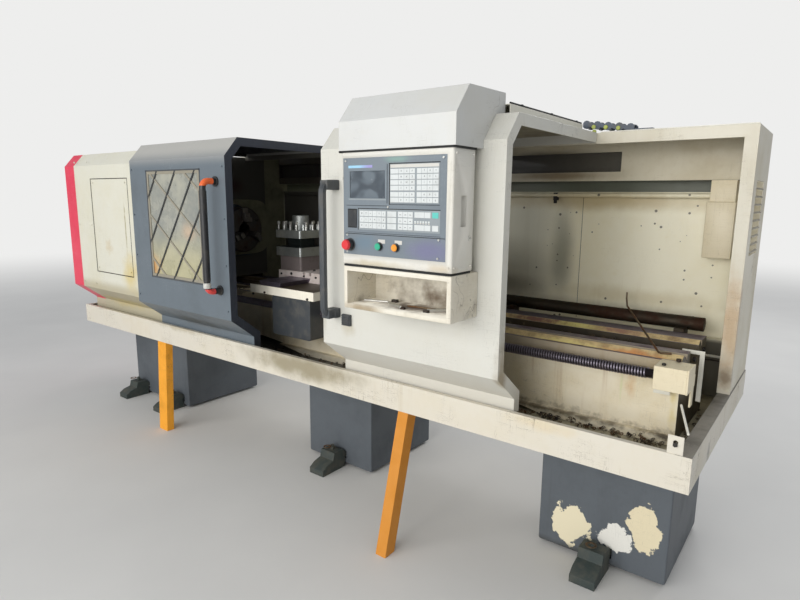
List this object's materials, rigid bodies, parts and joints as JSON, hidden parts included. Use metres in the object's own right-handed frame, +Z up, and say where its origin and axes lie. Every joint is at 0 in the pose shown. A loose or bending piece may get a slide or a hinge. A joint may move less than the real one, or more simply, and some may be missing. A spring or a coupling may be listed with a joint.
{
  "type": "cnc turning lathe",
  "caption": "Long flat-bed turning lathe on pedestals with a chip pan, sliding guard doors, latticed window, console, chuck, tool post and tailstock.",
  "frame": {"origin": "middle of the bounding box on the floor plane", "axes": "+X along the spindle axis from the headstock to the tailstock end, +Y to the back, +Z up"},
  "size_m": [3.752, 1.436, 1.748],
  "materials": {
    "cream_paint": "satin, scratched and stained",
    "blue_grey_paint": "satin",
    "pedestal_paint": "eggshell, peeled in patches",
    "mount_paint": "painted, dusty",
    "casting_paint": "painted, oily",
    "headstock_paint": "painted",
    "apron_paint": "matt",
    "panel_paint": "satin",
    "red_paint": "gloss",
    "yellow_paint": "worn",
    "motor_paint": "satin",
    "machined_steel": "turned and ground",
    "dark_metal": "satin",
    "belt_rubber": "matt",
    "pane_plastic": "clear, yellowed",
    "handle_plastic": "fine grain",
    "chain_plastic": "moulded",
    "green_plastic": "moulded",
    "orange_plastic": "moulded",
    "stop_red": "moulded"
  },
  "bodies": {
    "base": {"pedestal_left": "pedestal_paint", "pedestal_middle": "pedestal_paint", "pedestal_right": "pedestal_paint", "mount_left_front_1": "mount_paint", "mount_left_front_2": "mount_paint", "mount_left_rear": "mount_paint", "mount_middle_front_1": "mount_paint", "mount_middle_rear": "mount_paint", "mount_right_front_1": "mount_paint", "mount_right_rear": "mount_paint", "chip_pan": "cream_paint", "bed": "casting_paint", "headstock": "headstock_paint", "headstock_cover": "cream_paint", "access_panel": "cream_paint", "end_cover": "red_paint", "fixed_guard": "cream_paint", "back_wall": "cream_paint", "back_beam": "cream_paint", "corner_box": "cream_paint", "rear_tube": "dark_metal", "drag_chain": "chain_plastic", "screw_bearing": "cream_paint", "feed_drive": "motor_paint", "main_motor": "motor_paint", "drive_belt": "belt_rubber", "chip_hook": "machined_steel", "pan_prop_left": "yellow_paint", "pan_prop_right": "yellow_paint", "electrical_cabinet": "cream_paint"},
    "cabinet_door_body": {"cabinet_door": "cream_paint"},
    "motor_pulley_body": {"motor_pulley": "machined_steel"},
    "spindle_body": {"spindle": "machined_steel", "chuck_body": "machined_steel"},
    "jaw_1": {"chuck_jaw_1": "machined_steel"},
    "jaw_2": {"chuck_jaw_2": "machined_steel"},
    "jaw_3": {"chuck_jaw_3": "machined_steel"},
    "feed_screw": {"ball_screw": "machined_steel"},
    "carriage": {"saddle": "casting_paint", "apron": "apron_paint"},
    "cross_slide_body": {"cross_slide": "cream_paint", "tool_post_base": "casting_paint"},
    "turret": {"tool_turret": "casting_paint"},
    "tailstock": {"tailstock_body": "casting_paint"},
    "quill": {"tailstock_quill": "machined_steel"},
    "handwheel": {"tailstock_wheel": "machined_steel"},
    "left_door_body": {"left_door": "blue_grey_paint", "window_grille": "dark_metal", "window_pane": "pane_plastic", "left_handle": "handle_plastic"},
    "right_door_body": {"right_door": "cream_paint", "right_handle": "handle_plastic", "cable_duct": "cream_paint", "console_box": "cream_paint", "control_panel": "panel_paint", "hood": "cream_paint", "tool_tray": "cream_paint"},
    "stop_button_body": {"stop_button": "stop_red"},
    "start_button_body": {"start_button": "green_plastic"},
    "hold_button_body": {"hold_button": "orange_plastic"}
  },
  "joints": [
    {"name": "left_door_slide", "type": "slide", "parent": "base", "child": "left_door_body", "axis": [1, 0, 0], "range_m": [-0.72, 0.3]},
    {"name": "right_door_slide", "type": "slide", "parent": "base", "child": "right_door_body", "axis": [1, 0, 0], "range_m": [-0.3, 0.48]},
    {"name": "spindle_spin", "type": "hinge", "parent": "base", "child": "spindle_body", "pos_m": [-1, 0.14, 1.195], "axis": [1, 0, 0], "continuous": true},
    {"name": "jaw_1_slide", "type": "slide", "parent": "spindle_body", "child": "jaw_1", "axis": [0, 0, 1], "range_m": [-0.02, 0.012]},
    {"name": "jaw_2_slide", "type": "slide", "parent": "spindle_body", "child": "jaw_2", "axis": [0, -0.866, -0.5], "range_m": [-0.02, 0.012]},
    {"name": "jaw_3_slide", "type": "slide", "parent": "spindle_body", "child": "jaw_3", "axis": [0, 0.866, -0.5], "range_m": [-0.02, 0.012]},
    {"name": "motor_pulley_spin", "type": "hinge", "parent": "base", "child": "motor_pulley_body", "pos_m": [-1.76, 0.165, 0.27], "axis": [1, 0, 0], "continuous": true},
    {"name": "feed_screw_spin", "type": "hinge", "parent": "base", "child": "feed_screw", "pos_m": [0.36, -0.16, 0.828], "axis": [1, 0, 0], "range_deg": [-14436, 8676]},
    {"name": "carriage_slide", "type": "slide", "parent": "base", "child": "carriage", "axis": [1, 0, 0], "range_m": [-0.4, 0.24]},
    {"name": "cross_slide_travel", "type": "slide", "parent": "carriage", "child": "cross_slide_body", "axis": [0, 1, 0], "range_m": [-0.1, 0.1]},
    {"name": "turret_index", "type": "hinge", "parent": "cross_slide_body", "child": "turret", "pos_m": [-0.24, 0.04, 1.1], "axis": [0, 0, 1], "continuous": true},
    {"name": "tailstock_slide", "type": "slide", "parent": "base", "child": "tailstock", "axis": [1, 0, 0], "range_m": [0, 0.55]},
    {"name": "quill_slide", "type": "slide", "parent": "tailstock", "child": "quill", "axis": [1, 0, 0], "range_m": [-0.101, 0.001]},
    {"name": "handwheel_spin", "type": "hinge", "parent": "tailstock", "child": "handwheel", "pos_m": [0.85, 0.14, 1.195], "axis": [1, 0, 0], "range_deg": [-7200, 0]},
    {"name": "stop_press", "type": "slide", "parent": "right_door_body", "child": "stop_button_body", "axis": [0, 1, 0], "range_m": [0, 0.004], "stiffness_N_per_m": 400, "springref_m": -0.001},
    {"name": "start_press", "type": "slide", "parent": "right_door_body", "child": "start_button_body", "axis": [0, 1, 0], "range_m": [0, 0.004], "stiffness_N_per_m": 400, "springref_m": -0.001},
    {"name": "hold_press", "type": "slide", "parent": "right_door_body", "child": "hold_button_body", "axis": [0, 1, 0], "range_m": [0, 0.004], "stiffness_N_per_m": 400, "springref_m": -0.001},
    {"name": "cabinet_door_hinge", "type": "hinge", "parent": "base", "child": "cabinet_door_body", "pos_m": [-1.793, 0.711, 1.1], "axis": [0, 0, 1], "range_deg": [0, 105]}
  ],
  "couplings": [
    {"joint": "jaw_2_slide", "follows": "jaw_1_slide", "ratio": 1},
    {"joint": "jaw_3_slide", "follows": "jaw_1_slide", "ratio": 1},
    {"joint": "motor_pulley_spin", "follows": "spindle_spin", "ratio": 1.5714},
    {"joint": "feed_screw_spin", "follows": "carriage_slide", "rad_per_m": 628.32},
    {"joint": "quill_slide", "follows": "handwheel_spin", "m_per_rad": 0.00079577}
  ]
}
